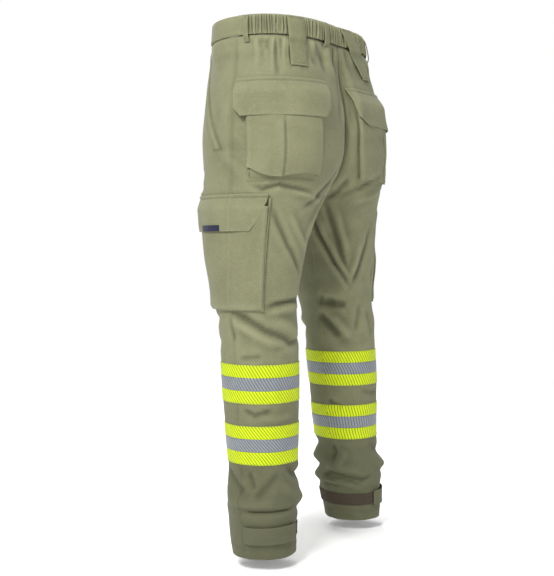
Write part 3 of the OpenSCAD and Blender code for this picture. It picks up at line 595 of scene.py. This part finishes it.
# ------------------------------------------------------------------ leg cloth
for side in (1, -1):
    s = NAME[side]
    hs = np.unique(np.round(np.concatenate([[0, .0008], np.arange(.004, .68, .0052), np.arange(.68, .775, .0028),
                                            np.arange(.775, 1.0185, .0052), [1.0195]]), 5))
    v = level(hs)
    ef, eb = -last_angle(v, False), last_angle(v, True)
    nf = nb = 84
    tf = np.linspace(0, 1, nf)
    A = np.concatenate([ef[:, None] * (1 - tf)[None, :], eb[:, None] * np.linspace(0, 1, nb)[None, 1:]], 1)
    Hh = np.repeat(hs[:, None], A.shape[1], 1)
    out = spot(Hh, A, 0.0, side)
    inn = spot(Hh, A, -T, side)
    endb = last_angle(level(Hh), True)
    # painted into the fold-shading attribute: darker lines along the outseam and the hem, painted shade in the pocket
    # mouth and in the valley of the seat seam, and painted shade over the inner thighs
    paint = -.55 * np.exp(-((A + .3) / .9) ** 2)                                      # outseam
    paint -= .85 * np.exp(-((A - endb) / 2.4) ** 2) * smooth(Hh, .70, .74) * (1 - smooth(Hh, .90, .97))
    paint -= .32 * smooth(np.abs(A), 112, 158) * smooth(Hh, .22, .40) * (1 - smooth(Hh, .70, .76))
    paint -= .30 * np.exp(-((Hh - .0215) / .0022) ** 2)                               # hem line
    ma = np.interp(Hh, MOUTH_H, MOUTH_A)
    paint -= .45 * np.exp(-((A - ma - .4) / .9) ** 2) * smooth(Hh, .785, .80)
    ob = grid(s + "_leg_cloth", out, inn, SAGE, flip=(side < 0), mat_in=LINING, sharp=70, paint=paint)
    put(ob, knee(side), "leg_cloth", s + "_front_panel", s + "_back_panel", s + "_knee_section", s + "_shin_front", s + "_shin_back")
    key = ("knee", knee(side))
    bag = patch(s + "_hand_pocket_bag_cloth", side, .741, 1.017, -75, -2, 24, 26, lambda h, t, q, a: -.0022 - .0056 * rim_fall(t, .2) * smooth(q, 0, .12), .0008, LINING, .16)
    put(bag, "trousers", "pocket_lining", s + "_hand_pocket_bag")
    # outseam: two rows; inseam one; seat seam two
    for da in (-2.6, -1.0):
        stitches("seams_" + s, side, [(h, da if h < 1.0 else da) for h in np.linspace(.004, 1.016, 90)], .0003, key)
    stitches("seams_" + s, side, [(h, 176) for h in np.linspace(.004, .69, 60)], .0003, key)
    for k in (2.2, 4.6):
        q = np.linspace(.712, 1.014, 60)
        stitches("seams_" + s, side, list(zip(q, last_angle(level(q), True) - k)), .0003, key)
        q = np.linspace(.745, .872, 30)
        stitches("seams_" + s, side, list(zip(q, -last_angle(level(q), False) + k)), .0003, key)
    # hem
    for hh in (.0175, .0205):
        stitches("seams_" + s, side, [(hh, a) for a in np.linspace(-180, 180, 90)], .0003, key)
    # hand pocket mouth, top-stitched twice, with a bar tack at its foot
    for k in (2.4, 4.8):
        stitches("seams_" + s, side, [(h, np.interp(h, MOUTH_H, MOUTH_A) - k) for h in np.linspace(.80, 1.014, 40)], .0003, key)
    for q in range(6):
        stitches("seams_" + s, side, [(.792 + q * .0009, -20), (.792 + q * .0009, -11)], .0003, key, step=.0022, ln=.002)
    hem = grid(s + "_hem_ply", spot(np.repeat(np.array([0.0004, .001, .012, .0195, .020])[:, None], 121, 1), np.repeat(np.linspace(-180, 180, 121)[None, :], 5, 0), -T - .0002, side)[:, :-1],
               spot(np.repeat(np.array([0.0004, .001, .012, .0195, .020])[:, None], 121, 1), np.repeat(np.linspace(-180, 180, 121)[None, :], 5, 0), -T - .0014, side)[:, :-1],
               LINING, ring=True, flip=(side < 0))
    put(hem, s + "_shin", "leg_cloth")

# ------------------------------------------------------------------ waistband
def gathers(h, a, side):
    ph = a * 2.05 + 1.9 * np.sin(a * .19 + side) + 0.6 * np.sin(h * 75 + a * .33)
    g = smooth(a, 2, 8)
    mid = 1 - ((h - 1.04) / .021) ** 2 * .45
    return g * mid * (.0016 * np.sin(ph) + .0008 * np.sin(1.6 * ph + 2) + .0007 * np.sin(a * .5 + h * 60))

def wb(name, side, a0, a1, n, o, th, mat, rows, g=False, mat_in=None):
    hs = np.array(rows); ts = np.linspace(0, 1, n)
    Hh, Tt = np.meshgrid(hs, ts, indexing="ij")
    v = level(Hh)
    A0 = np.full(Hh.shape, float(a0)) if a0 is not None else -last_angle(v, False)
    A1 = np.full(Hh.shape, float(a1)) if a1 is not None else last_angle(v, True)
    A = A0 + (A1 - A0) * Tt
    O = np.full(Hh.shape, o)
    if g: O = O + gathers(Hh, A, side)
    rim = np.zeros(O.shape); rim[0, :] = rim[-1, :] = 1
    d = smooth(np.abs(Hh - 1.04), .016, .0205)
    out = spot(Hh, A, O - rim * .0007 - d * .0012, side, False, 0.0)
    inn = spot(Hh, A, O - th + rim * .0004 + d * (0.0006 if not g else 0.0), side, False, 0.0)
    return out, inn

ROWSW = np.concatenate([[1.0198, 1.0206], np.linspace(1.0225, 1.0575, 13), [1.0592, 1.0599]])
for side in (1, -1):
    s = NAME[side]
    o, i = wb("", side, None, 1.5, 90, .0042, .0052, SAGE, ROWSW)
    put(grid(s + "_front_band", o, i, SAGE, flip=side < 0, mat_in=LINING), "trousers", "leg_cloth", s + "_front_waistband")
# rear band runs across the centre back in one piece
oL, iL = wb("", 1, 0.5, None, 330, .0050, .0016, SAGE, ROWSW, g=True)
oR, iR = wb("", -1, 0.5, None, 330, .0050, .0016, SAGE, ROWSW, g=True)
join = lambda a, b: np.concatenate([a[:, :-1], ((a[:, -1:] + b[:, -1:]) / 2) * np.array([0, 1, 1]), b[:, :-1][:, ::-1]], 1)
put(grid("rear_band", join(oL, oR), join(iL, iR), SAGE), "trousers", "leg_cloth", "rear_waistband")
oL, iL = wb("", 1, 0.5, None, 120, .0002, .0012, LINING, ROWSW); oR, iR = wb("", -1, 0.5, None, 120, .0002, .0012, LINING, ROWSW)
put(grid("rear_band_facing", join(oL, oR), join(iL, iR), LINING), "trousers", "pocket_lining", "rear_waistband_facing")
for ob in frame["nodes"].values() if isinstance(frame["nodes"], dict) else []:
    pass
for side in (1, -1):
    for hh in (1.0228, 1.0572):
        stitches("band", side, [(hh, a) for a in np.linspace(-89, 1, 40)], .0041)
    for hh in (1.0232, 1.0400, 1.0568):
        aa = np.linspace(2, 100, 260)
        stitches("band", side, [(hh, a) for a in aa], lambda h, a, sd=side: .0050 + gathers(h, a, sd) - disp(h, a, sd) - .0006 * (np.abs(h - 1.04) > .015))

# ------------------------------------------------------------------ belt loops
def strap(name, side, at, ab, half, h0, h1, band_o=.0052, wide=False):
    # a leaf that leaves the cloth low, stands off over the band and comes back at the top
    n = 26
    hs = np.concatenate([[h0, h0 + .0008], np.linspace(h0 + .003, h1 - .002, n), [h1 - .0006, h1]])
    ts = ease(7 if wide else 4, .0008, .0008, half * .0052)
    Hh, Tt = np.meshgrid(hs, ts, indexing="ij")
    q = (Hh - h0) / (h1 - h0)
    mid = ab + (at - ab) * q
    A = mid + (Tt * 2 - 1) * half
    belly = np.sin(np.clip(q * 1.04, 0, 1) * math.pi) ** .55
    O = .0034 + .0040 * belly + .0034 * smooth(Hh, 1.004, 1.018)
    O = np.minimum(O, .0108)
    if wide: O = O + .0012 * (1 - smooth(q, 0, .12)) + .0010 * np.cos((Tt - .5) * 2.6)
    rim = np.zeros(O.shape); rim[:, 0] = rim[:, -1] = 1; rim[0] = rim[-1] = 1
    f = False
    out = spot(Hh, A, O - rim * .0005, side, f); inn = spot(Hh, A, O - .0019 + rim * .0005, side, f)
    ob = grid(name, out, inn, SEAMC, flip=side < 0)
    for k in ((-.72, .72) if wide else (-.55, .55)):
        stitches("loops", side, [(h, ab + (at - ab) * (h - h0) / (h1 - h0) + k * half) for h in np.linspace(h0 + .003, h1 - .003, 20)],
                 lambda h, a, sd=side: np.interp(h, hs, O[:, len(ts) // 2]) - disp(h, a, sd) + .0001)
    for e in (h0 + .004, h1 - .005):
        for r in range(3 if not wide else 4):
            hh = e + r * .0010
            mid1 = ab + (at - ab) * (hh - h0) / (h1 - h0)
            stitches("loops", side, [(hh, mid1 - half * .75), (hh, mid1 + half * .75)],
                     lambda h, a, sd=side: np.interp(h, hs, O[:, len(ts) // 2]) - disp(h, a, sd) + .0001, step=.0021, ln=.0019)
    return ob
for side in (1, -1):
    for k, a in enumerate((-62, 9, 89 if side > 0 else 52)):
        put(strap("narrow_loop_%s_%d" % (NAME[side], k), side, a, a, 2.35, 1.0045, 1.0585), "trousers", "leg_cloth")
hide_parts("narrow_belt_loops")
put(strap("left_wide_loop", 1, 56.5, 59, 8.2, .957, 1.0585, wide=True), "trousers", "leg_cloth", "left_wide_belt_loop")
put(strap("right_wide_loop", -1, 95, 79, 6.9, .957, 1.0585, wide=True), "trousers", "leg_cloth", "right_wide_belt_loop")

# ------------------------------------------------------------------ pockets
def back_pocket(side):
    s = NAME[side]
    if side > 0: L, R = [[.730, 12.5], [.860, 9.8], [.905, 9.0]], [[.730, 84], [.860, 77.5], [.905, 76.5]]
    else: L, R = [[.730, 43], [.860, 44], [.905, 44]], [[.730, 110.5], [.860, 105], [.905, 104]]
    k = 1.0 if side > 0 else .9
    def face(h, t, q, a):
        side_in = .62 + .38 * rim_fall(t, .035)
        pleat = .0026 * (1 - smooth(t, .455, .475)) * smooth(t, .30, .44) * (1 - smooth(q, .56, .70)) - .0012 * np.exp(-((t - .487) / .012) ** 2)
        sag = .0011 * np.sin(t * 9 + side) * (1 - q) + .0009 * np.sin(h * 70 + t * 5)
        o = np.minimum(.0104 * side_in + pleat + sag * (1 - smooth(q, .5, .7)) + .0014 * np.sin(t * math.pi) * (1 - q), .0146)
        return o if side > 0 else o * (1 - .28 * (1 - smooth(t, .35, .7)))
    def foot(t, q):
        x = np.interp(t, [0, .06, .16, .30, .45, .58, .72, .86, .97, 1], [.012, .009, .001, -.0060, -.0075, -.0030, .0000, -.0005, -.0030, -.0040])
        return x * (1 - smooth(q, 0, .22))
    f = patch(s + "_back_pocket_face", side, .7440, .902, L, R, 44, 72, face, .0014, SAGE, .17, mat_in=LINING, warp=foot)
    put(f, "trousers", "leg_cloth", s + "_back_pocket")
    # folded bellows behind the side and foot edges
    def sidefold(h, t, q, a): return .0009 + (.0062 if side > 0 else .0042) * smooth(t, .1, 1)
    for tag, T0, T1 in (("outer", L, 3.4), ("inner", R, -3.4)):
        e0 = [[x, y + (.7 if T1 > 0 else -.7)] for x, y in T0]; e1 = [[x, y + T1] for x, y in T0]
        g = patch(s + "_back_pocket_fold_" + tag, side, .7400, .9000, e0 if T1 > 0 else e1, e1 if T1 > 0 else e0, 30, 5,
                  sidefold if T1 > 0 else (lambda h, t, q, a: .0009 + .0072 * smooth(1 - t, .1, 1)), .0011, SEAMC, .012, mat_in=LINING)
        put(g, "trousers", "leg_cloth")
    def gus(h, t, q, a): return .0012 + .0062 * smooth(q, .15, 1) * rim_fall(t, .06)
    gl, gr = float(tbl(L, .74)), float(tbl(R, .74))
    g = patch(s + "_back_pocket_bellows", side, .7290, .7480, gl - .2, gr + .4, 8, 50, gus, .0012, SEAMC, .17, mat_in=LINING,
              warp=lambda t, q: .004 * (1 - smooth(t, 0, .25)) * q - .0015 * np.sin(t * 7) * (1 - q))
    put(g, "trousers", "leg_cloth")
    fo = lambda h, a: face(h, (a - tbl(L, h)) / (tbl(R, h) - tbl(L, h)), (h - .744) / .158, a)
    stitches("pockets", side, [(h, tbl(L, h) + 1.5) for h in np.linspace(.762, .900, 30)], fo)
    stitches("pockets", side, [(h, tbl(R, h) - 1.5) for h in np.linspace(.752, .900, 30)], fo)
    stitches("pockets", side, [(.7312, a) for a in np.linspace(gl + 1, gr - 1, 40)], .0022)
    stitches("pockets", side, [(.7500 + float(foot(np.array((a - gl) / (gr - gl)), np.array(0.0))), a) for a in np.linspace(gl + 2, gr - 2, 60)], fo)
    # loop tape on the face, covered by the flap
    c = (gl + gr) / 2
    tp = patch(s + "_back_loop_tape", side, .859, .881, c - 23 * k, c + 21 * k, 5, 30, lambda h, t, q, a: fo(h, a) + .0006, .0006, BROWN, .10, lip=.0006)
    put(tp, "trousers", "hook_and_loop")
    return fo

def flap(side, name, h0, h1, a0, a1, kink, nodes, bl, o0=.0040, o1=.0132, width=.18, na=60, curl=.0012, seed=1):
    def f(h, t, q, a):
        up = q                                               # 0 foot, 1 top seam
        base = o0 + (o1 - o0) * (1 - smooth(up, .60, 1.03))
        corner = curl * (1 - smooth(np.minimum(t, 1 - t), 0, .10)) * (1 - up)
        wave = .0009 * np.sin(t * 7.3 + seed) * (1 - up) + .0005 * np.sin(t * 17 + seed * 2) * (1 - up)
        groove = -.0013 * (np.exp(-((up - .915) / .022) ** 2))
        return base + corner + wave + groove
    ob = patch(name, side, h0, h1, a0, a1, 26, na, f, .0024, SAGE, width, extra_h=kink, mat_in=LINING, lip=.0011)
    put(ob, bl, "leg_cloth", *nodes)
    key = (name, bl)
    def off(h, a):
        t = (a - tbl(a0, h)) / (tbl(a1, h) - tbl(a0, h)); q = (h - h0) / (h1 - h0)
        return f(h, t, q, a)
    ins = .0052; k = 2.3
    for up in (h1 - .0052, h1 - .0012):
        stitches("flap", side, [(up, a) for a in np.linspace(float(tbl(a0, up)) + 2, float(tbl(a1, up)) - 2, 60)], off, key)
    path = [(h1 - .007, float(tbl(a0, h1)) + k)] + [(hh, float(tbl(a0, hh)) + k) for hh in np.linspace(h1 - .01, kink[0] + .001, 8)] \
        + [(h0 + ins, float(tbl(a0, h0)) + k * .8)] + [(h0 + ins, a) for a in np.linspace(float(tbl(a0, h0)) + k, float(tbl(a1, h0)) - k, 40)] \
        + [(hh, float(tbl(a1, hh)) - k) for hh in np.linspace(kink[0] + .001, h1 - .007, 8)]
    stitches("flap", side, path, off, key)
    return ob, off

for side in (1, -1):
    s = NAME[side]
    back_pocket(side)
    if side > 0: a0, a1, am = [[.856, 6.5], [.873, 1.6], [.932, .6]], [[.856, 79], [.873, 84], [.932, 85.5]], 43.
    else: a0, a1, am = [[.856, 40], [.873, 34], [.932, 34]], [[.856, 96], [.873, 106], [.932, 109]], 71.5
    p = spot(.926, am, 0., side, False)
    bl = ("trousers", s + "_back_flap", (float(p[0]), float(p[1]), Z(.931)), (float(p[0]), float(p[1]), Z(.914)))
    fo, off = flap(side, s + "_back_pocket_flap", .8555, .9325, a0, a1, [.873], [s + "_back_flap"], bl, seed=1 + side)
    hk = patch(s + "_back_hook_tape", side, .860, .880, am - 21 * (1 if side > 0 else .85), am + 21 * (1 if side > 0 else .85), 5, 28, lambda h, t, q, a: off(h, a) - .0023, .0006, BROWN, .10, lip=.0006)
    put(hk, bl, "hook_and_loop", s + "_back_flap_hooks")
    # cargo pocket
    L = [[.478, -57], [.700, -52]]; R = [[.478, 44], [.700, 38]]
    def cface(h, t, q, a):
        side_in = .66 + .34 * rim_fall(t, .03)
        foot = .72 + .28 * smooth(q, 0, .03)
        pleat = -.0024 * np.exp(-((t - .5) / .010) ** 2)
        return .0010 + .0098 * side_in * foot + .0010 * np.sin(t * 8 + h * 20) * side_in + .0011 * np.sin(h * 46 + 2 * t)
    cf = patch(s + "_cargo_pocket_face", side, .4790, .680, L, R, 52, 74, cface, .0014, SAGE, .19, mat_in=LINING)
    put(cf, "trousers", "leg_cloth", s + "_cargo_pocket")
    for k in (5.2, 7.0):
        stitches("pockets", side, [(h, tbl(L, h) + k) for h in np.linspace(.484, .676, 40)], lambda h, a: cface(h, (a - tbl(L, h)) / (tbl(R, h) - tbl(L, h)), (h - .479) / .201, a))
        stitches("pockets", side, [(h, tbl(R, h) - k) for h in np.linspace(.484, .676, 40)], lambda h, a: cface(h, (a - tbl(L, h)) / (tbl(R, h) - tbl(L, h)), (h - .479) / .201, a))
    stitches("pockets", side, [(.4880, a) for a in np.linspace(-52, 39, 70)], lambda h, a: cface(h, (a - tbl(L, h)) / (tbl(R, h) - tbl(L, h)), (h - .479) / .201, a))
    # bellows fold under and behind the face
    def cb(h, t, q, a): return .0010 + .0042 * rim_fall(t, .5) * 0 + .0035 * smooth(q, 0, .5)
    gb = patch(s + "_cargo_bellows_foot", side, .4755, .4835, [[.47, -58], [.49, -58]], [[.47, 45.5], [.49, 45.5]], 5, 60, cb, .0012, SEAMC, .19, mat_in=LINING)
    put(gb, "trousers", "leg_cloth")
    for tag, e0, e1 in (("rear", 42.0, 46.0), ("front", -59.5, -55.5)):
        def cs(h, t, q, a): return .0010 + .0048 * np.sin(np.clip(t, 0, 1) * math.pi) ** .6
        gs = patch(s + "_cargo_bellows_" + tag, side, .4765, .6955, [[.47, e0], [.70, e0 - (4.5 if tag == "rear" else -4.0)]], [[.47, e1], [.70, e1 - (5 if tag == "rear" else -5)]], 44, 6, cs, .0012, SEAMC, .02, mat_in=LINING)
        put(gs, "trousers", "leg_cloth")
    a0 = [[.632, -54.5], [.649, -58.5], [.704, -57]]; a1 = [[.632, 22.5], [.649, 28.5], [.690, 36.5], [.704, 37]]
    p = spot(.698, -10., 0., side, False)
    bl = ("trousers", s + "_cargo_flap", (float(p[0]), float(p[1]), Z(.703)), (float(p[0]), float(p[1]), Z(.686)))
    fo, off = flap(side, s + "_cargo_pocket_flap", .6315, .7045, a0, a1, [.649, .690], [s + "_cargo_flap"], bl, seed=3 + side, na=72)
    hk = patch(s + "_cargo_hook_tape", side, .637, .657, -38, 12, 5, 30, lambda h, t, q, a: off(h, a) - .0023, .0006, BROWN, .10, lip=.0006)
    put(hk, bl, "hook_and_loop", s + "_cargo_flap_hooks")
    tp = patch(s + "_cargo_loop_tape", side, .636, .658, -40, 14, 5, 32, lambda h, t, q, a: cface(h, (a - tbl(L, h)) / (tbl(R, h) - tbl(L, h)), (h - .479) / .201, a) + .0006, .0006, BROWN, .10, lip=.0006)
    put(tp, "trousers", "hook_and_loop", *(["pocket_loop_tapes"] if side > 0 else []))
    if side == 1:
        def tg(h, t, q, a): return off(h, a) + .0010
        tag = patch("plain_tag", side, .6318, .6440, -41, -10, 6, 14, tg, .0009, NAVY, .05)
        put(tag, bl, "navy_tag", "label_tag")

# ------------------------------------------------------------------ reflective trim
for side in (1, -1):
    s = NAME[side]
    for which, top in (("upper", .373), ("lower", .255)):
        for k, mat, sl in ((0, LIME, "lime_trim"), (1, SILVER, "silver_trim"), (2, LIME, "lime_trim")):
            h1, h0 = top - k * .025, top - (k + 1) * .025
            hs = np.concatenate([[h0 + .0002, h0 + .0008], np.linspace(h0 + .003, h1 - .003, 6), [h1 - .0008, h1 - .0002]])
            aa = np.linspace(-180, 180, 181)[:-1]
            Hh, A = np.meshgrid(hs, aa, indexing="ij")
            rim = np.zeros(Hh.shape); rim[0] = rim[-1] = 1
            out = spot(Hh, A, .0013 - .0004 * rim, side); inn = spot(Hh, A, .0003, side)
            full = np.concatenate([out, out[:, :1]], 1)
            du = np.linalg.norm(np.diff(full, axis=1), axis=-1)
            per = du.sum(1).mean(); n = round(per / .0064)
            uu = (np.concatenate([np.zeros((len(hs), 1)), np.cumsum(du, 1)], 1)[:, :-1]) * (n * .0064 / per) * side
            ob = grid("%s_%s_trim_%d" % (s, which, k), out, inn, mat, ring=True, flip=side < 0, uv=np.stack([uu, out[..., 2]], -1))
            cadn = "%s_%s_%s_trim" % (s, which, "silver" if k == 1 else "lime")
            put(ob, s + "_shin", sl, *( [cadn] if k < 2 else []))
            for hh in (h1 - .0018, h0 + .0018):
                if (k == 0 and hh > h1 - .01) or (k == 2 and hh < h0 + .01):
                    stitches(s + "_shin_x", side, [(hh, a) for a in np.linspace(-180, 180, 120)], .0014, ("t" + s, knee(side)))

# ------------------------------------------------------------------ cuffs
for side in (1, -1):
    s = NAME[side]
    st = patch(s + "_loop_strip", side, .034, .059, 14, 262, 10, 150, lambda h, t, q, a: .0020 + 0 * h, .0013, BROWN, .30)
    put(st, s + "_shin", "hook_and_loop", s + "_cuff_loop_strip")
    def tabo(h, t, q, a): return .0026 + .0030 * smooth(t, 0, .14) + .0004 * smooth(t, .8, 1) + .0003 * np.sin(t * 9)
    tb = patch(s + "_cuff_closure", side, .0295, .0628, 1.0, [[.0295, 99], [.034, 102], [.058, 102], [.0628, 99]], 16, 60, tabo, .0022, SAGE, .11, mat_in=LINING, lip=.0010)
    p = spot(.046, 2., 0., side, False); q = spot(.046, 14., 0., side, False)
    bl = (s + "_shin", s + "_cuff_tab", tuple(float(c) for c in p), tuple(float(c) for c in q))
    put(tb, bl, "leg_cloth", s + "_cuff_tab")
    hk = patch(s + "_cuff_hook_tape", side, .0352, .0568, 60, 97, 5, 24, lambda h, t, q, a: tabo(h, (a - 1) / 101., 0, a) - .0022, .0006, BROWN, .05, lip=.0006)
    put(hk, bl, "hook_and_loop", s + "_cuff_hooks")
    key = (s + "_tab", bl)
    off = lambda h, a: tabo(h, (a - 1) / 101., 0, a)
    stitches("tab", side, [(.0335, a) for a in np.linspace(3, 98, 50)] + [(.0588, 98)] + [(.0588, a) for a in np.linspace(97, 3, 50)], off, key)
    for aa in (2.5, 6.5):
        stitches("tab", side, [(.031, aa), (.0615, aa)], off, key)
    stitches("tab", side, [(.0335, 7), (.0588, 15)], off, key); stitches("tab", side, [(.0588, 7), (.0335, 15)], off, key)

# ------------------------------------------------------------------ fly
def fly_patch(name, h0, h1, side, x0, x1, o, th, mat, nh=30, nx=14):
    hs = np.concatenate([[h0, h0 + .001], np.linspace(h0 + .004, h1 - .004, nh), [h1 - .001, h1]])
    return hs
cov_a1 = -79
def cov(h, t, q, a): return .0105 - .0050 * smooth(t, .55, 1) + .0004 * np.sin(h * 60)
fc = patch("fly_front", 1, .866, 1.0185, -89.9, [[.866, -84], [.885, cov_a1], [1.02, cov_a1]], 34, 16, cov, .0020, SAGE, .045, extra_h=[.885], mat_in=LINING)
p = spot(.945, cov_a1 - .2, 0., 1, False); q = spot(.945, cov_a1 - 4.5, 0., 1, False)
blf = ("trousers", "fly_cover", (float(p[0]), float(p[1]), float(p[2])), (float(q[0]), float(p[1]), float(p[2])))
put(fc, blf, "leg_cloth", "fly_cover")
cofs = lambda h, a: cov(h, (a + 89.9) / 10.9, 0, a)
for k in (1.0, 2.6):
    stitches("fly", 1, [(.870 + k * .0012, -85.5), (.887, cov_a1 - k)] + [(h, cov_a1 - k) for h in np.linspace(.89, 1.016, 30)], cofs, ("fly", blf))

build_stitches()

# ------------------------------------------------------------------ CAD pieces that stay
def each_node():
    for n in frame["nodes"]:
        name = n if isinstance(n, str) else getattr(n, "name", str(n))
        ob = bpy.data.objects.get(name)
        if ob: yield name, ob
for name, ob in each_node():
    m = None
    if name in ("zip_teeth", "zip_slider", "snap_socket", "snap_stud"): m = BRASS
    elif "hooks" in name: m = BROWN
    elif name == "waist_elastic": m = ELASTIC
    elif name in ("left_hand_pocket_bag", "right_hand_pocket_bag", "fly_shield", "zip_tapes"): m = LINING
    elif name == "waist_tab": m = SAGE
    if m is not None:
        ob.data.materials.clear(); ob.data.materials.append(m)

# ------------------------------------------------------------------ studio
def area(name, loc, target, size, power, col=(1, 1, 1)):
    l = bpy.data.lights.new(name, "AREA"); l.energy = power; l.size = size; l.color = col
    o = bpy.data.objects.new(name, l); bpy.context.scene.collection.objects.link(o)
    o.location = loc
    o.rotation_euler = (Vector(target) - Vector(loc)).to_track_quat("-Z", "Y").to_euler()
    return o

AZ, DIST, LEVEL = math.radians(125.0), 2.16, -.455
back = Vector((math.sin(AZ), -math.cos(AZ), 0)); rightv = Vector((math.cos(AZ), math.sin(AZ), 0))
cam_at = back * DIST - rightv * 0.020 + Vector((0, 0, LEVEL))
cam = bpy.data.cameras.new("camera"); cam.lens = 62.66; cam.sensor_width = 36.0; cam.sensor_fit = "AUTO"
camo = bpy.data.objects.new("camera", cam); bpy.context.scene.collection.objects.link(camo)
camo.location = cam_at
cam.shift_y = -43 / 576
look = -back
camo.rotation_euler = look.to_track_quat("-Z", "Y").to_euler()
bpy.context.scene.camera = camo

FLOOR = CAD_BOX[0][2] - .024
me = bpy.data.meshes.new("floor")
k = 96; rr = 2.6
me.from_pydata([(rr*math.cos(i*2*math.pi/k), rr*math.sin(i*2*math.pi/k), FLOOR) for i in range(k)], [], [list(range(k))])
fl = bpy.data.objects.new("floor", me); bpy.context.scene.collection.objects.link(fl)
fm, fnt, fb = base_material("floor_pale", .9, .1)
fb.inputs["Base Color"].default_value = (.93, .93, .93, 1)
me.materials.append(fm)
w = bpy.data.worlds.new("studio"); bpy.context.scene.world = w; w.use_nodes = True
wt = w.node_tree
wc = wt.nodes.new("ShaderNodeTexCoord"); wsx = wt.nodes.new("ShaderNodeSeparateXYZ")
wt.links.new(wc.outputs["Generated"], wsx.inputs[0])
wt.links.new(mixc(wt, ramp(wt, wsx.outputs[2], .34, .60), (1.0, 1.0, 1.0), (.36, .36, .36)), wt.nodes["Background"].inputs[0])
w.node_tree.nodes["Background"].inputs[1].default_value = 1.0
area("key", back * 2.3 + rightv * -1.0 + Vector((0, 0, 1.5)), (0, 0, -.25), .9, 104)
area("fill", back * 2.0 + rightv * 2.2 + Vector((0, 0, .2)), (0, 0, -.55), 1.4, 14)
area("front", back * -2.2 + rightv * -.6 + Vector((0, 0, 1.2)), (0, 0, -.45), 1.8, 60)
area("top", Vector((-.1, -.1, 2.2)), (0, 0, -.6), 1.0, 40)
bpy.context.scene.view_settings.view_transform = "Standard"
